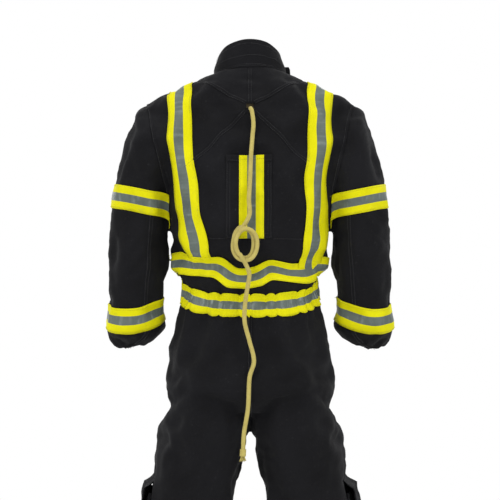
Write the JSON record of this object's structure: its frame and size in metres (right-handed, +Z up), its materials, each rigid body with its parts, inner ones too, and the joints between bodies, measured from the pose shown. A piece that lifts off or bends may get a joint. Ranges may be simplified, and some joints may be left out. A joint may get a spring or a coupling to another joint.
{
  "type": "one-piece rescue coverall",
  "caption": "Black one-piece rescue coverall with a stand collar, reflective tape, front zip, elasticated waist and a tan rescue rope hanging down the back.",
  "frame": {"origin": "between the shoulders at the base of the neck, where the wearer's shoulders carry the suit", "axes": "+Z up, the wearer faces -Y, +X is the wearer's left"},
  "size_m": [0.6054, 0.2989, 1.4995],
  "materials": {
    "black_cloth": "matt black ripstop aramid weave, stitched seams, creased at the joints",
    "lining": "matt tan plain-weave lining",
    "elastic": "matt black knitted elastic and tape",
    "webbing": "woven aramid webbing, dull yellow",
    "reflective_tape": "fluorescent yellow fabric with a retroreflective silver stripe down the middle",
    "hook_and_loop": "black hook-and-loop pile",
    "brass": "dull cast brass",
    "rope": "tan braided aramid cord, slightly fuzzy",
    "whipping_thread": "dark waxed whipping thread"
  },
  "bodies": {
    "suit": {"back_yoke": "black_cloth", "lower_back_panel": "black_cloth", "collar_outer": "black_cloth", "back_pocket": "black_cloth", "chest_pocket": "black_cloth", "shoulder_panel_left": "black_cloth", "shoulder_panel_right": "black_cloth", "front_panel_left": "black_cloth", "front_panel_right": "black_cloth", "trouser_front_left": "black_cloth", "trouser_front_right": "black_cloth", "trouser_back_left": "black_cloth", "trouser_back_right": "black_cloth", "thigh_pocket_left": "black_cloth", "thigh_pocket_right": "black_cloth", "trunk_liner": "lining", "leg_liner": "lining", "collar_lining": "lining", "waist_elastic": "elastic", "hanger_loop": "elastic", "zip_tape_left": "elastic", "zip_tape_right": "elastic", "harness_strap_left": "webbing", "harness_strap_right": "webbing", "chest_tape": "reflective_tape", "waist_tape": "reflective_tape", "back_strip_tape": "reflective_tape", "brace_tape_left": "reflective_tape", "brace_tape_right": "reflective_tape", "leg_tape_left": "reflective_tape", "leg_tape_right": "reflective_tape", "mic_patch": "hook_and_loop", "zip_teeth_left": "brass", "zip_teeth_right": "brass", "rope_upper": "rope", "rope_coil": "rope", "rope_tail": "rope", "rope_tuft": "rope", "rope_whipping": "whipping_thread"},
    "sleeve_left_body": {"sleeve_left": "black_cloth", "sleeve_liner_left": "lining", "cuff_elastic_left": "elastic", "sleeve_tape_upper_left": "reflective_tape", "sleeve_tape_lower_left": "reflective_tape"},
    "sleeve_right_body": {"sleeve_right": "black_cloth", "sleeve_liner_right": "lining", "cuff_elastic_right": "elastic", "sleeve_tape_upper_right": "reflective_tape", "sleeve_tape_lower_right": "reflective_tape"},
    "slider_body": {"zip_slider": "brass"},
    "pull_body": {"zip_pull": "brass"},
    "storm_flap_body": {"storm_flap": "black_cloth", "storm_flap_tape_chest": "reflective_tape", "storm_flap_tape_waist": "reflective_tape"},
    "throat_tab_body": {"throat_tab": "black_cloth"},
    "chest_flap_body": {"chest_pocket_flap": "black_cloth"},
    "thigh_flap_left_body": {"thigh_pocket_flap_left": "black_cloth"},
    "thigh_flap_right_body": {"thigh_pocket_flap_right": "black_cloth"}
  },
  "joints": [
    {"name": "shoulder_left", "type": "hinge", "parent": "suit", "child": "sleeve_left_body", "pos_m": [0.1945, 0, -0.133], "axis": [-0.9751, 0, 0.2216], "range_deg": [-20, 75]},
    {"name": "shoulder_right", "type": "hinge", "parent": "suit", "child": "sleeve_right_body", "pos_m": [-0.1945, 0, -0.133], "axis": [-0.9751, 0, -0.2216], "range_deg": [-20, 75]},
    {"name": "zip_run", "type": "slide", "parent": "suit", "child": "slider_body", "axis": [0, -0.0553, -0.9985], "range_m": [0, 0.585]},
    {"name": "zip_pull_swing", "type": "hinge", "parent": "slider_body", "child": "pull_body", "pos_m": [0, -0.1076, -0.037], "axis": [0, -0.9985, 0.0553], "range_deg": [-35, 35]},
    {"name": "storm_flap_hinge", "type": "hinge", "parent": "suit", "child": "storm_flap_body", "pos_m": [0.036, -0.12597, -0.336], "axis": [0, 0.0553, 0.9985], "range_deg": [0, 120]},
    {"name": "throat_tab_hinge", "type": "hinge", "parent": "suit", "child": "throat_tab_body", "pos_m": [-0.024, -0.1025, 0.016], "axis": [0, 0, 1], "range_deg": [0, 100]},
    {"name": "chest_flap_hinge", "type": "hinge", "parent": "suit", "child": "chest_flap_body", "pos_m": [-0.07, -0.1245, -0.197], "axis": [-1, 0, 0], "range_deg": [0, 120]},
    {"name": "thigh_flap_left_hinge", "type": "hinge", "parent": "suit", "child": "thigh_flap_left_body", "pos_m": [0.2296, -0.007, -0.84], "axis": [0, -1, 0], "range_deg": [0, 110]},
    {"name": "thigh_flap_right_hinge", "type": "hinge", "parent": "suit", "child": "thigh_flap_right_body", "pos_m": [-0.2296, -0.007, -0.84], "axis": [0, 1, 0], "range_deg": [0, 110]}
  ]
}
